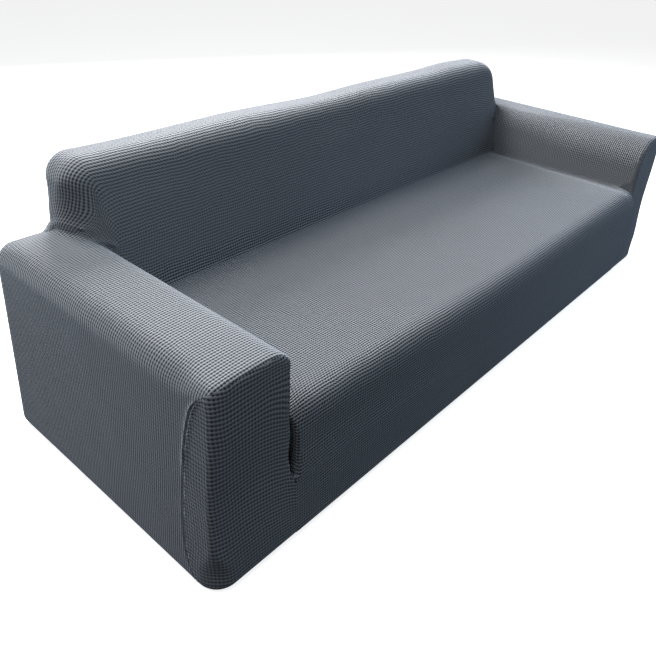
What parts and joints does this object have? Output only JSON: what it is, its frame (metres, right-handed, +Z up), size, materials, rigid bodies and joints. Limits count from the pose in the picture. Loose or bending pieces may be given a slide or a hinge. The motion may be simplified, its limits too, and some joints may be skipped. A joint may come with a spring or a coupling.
{
  "type": "sofa slipcover",
  "caption": "Fitted stretch cover for a long sofa with box arms and a low back, in a waffle knit with sewn arm fronts and a turned hem.",
  "frame": {"origin": "centre of the bounding box in plan, at the height of the hem", "axes": "+X along the sofa, -Y towards the seat's front, +Z up"},
  "size_m": [2.2376, 0.7991, 0.6905],
  "materials": {
    "seat_and_back_panel": "matt waffle knit",
    "outer_back_panel": "matt waffle knit",
    "left_arm_panel": "matt waffle knit",
    "right_arm_panel": "matt waffle knit",
    "left_arm_front": "matt waffle knit",
    "right_arm_front": "matt waffle knit"
  },
  "bodies": {
    "root": {"seat_and_back_panel": "seat_and_back_panel", "outer_back_panel": "outer_back_panel", "left_arm_panel": "left_arm_panel", "right_arm_panel": "right_arm_panel", "left_arm_front": "left_arm_front", "right_arm_front": "right_arm_front"}
  },
  "joints": []
}
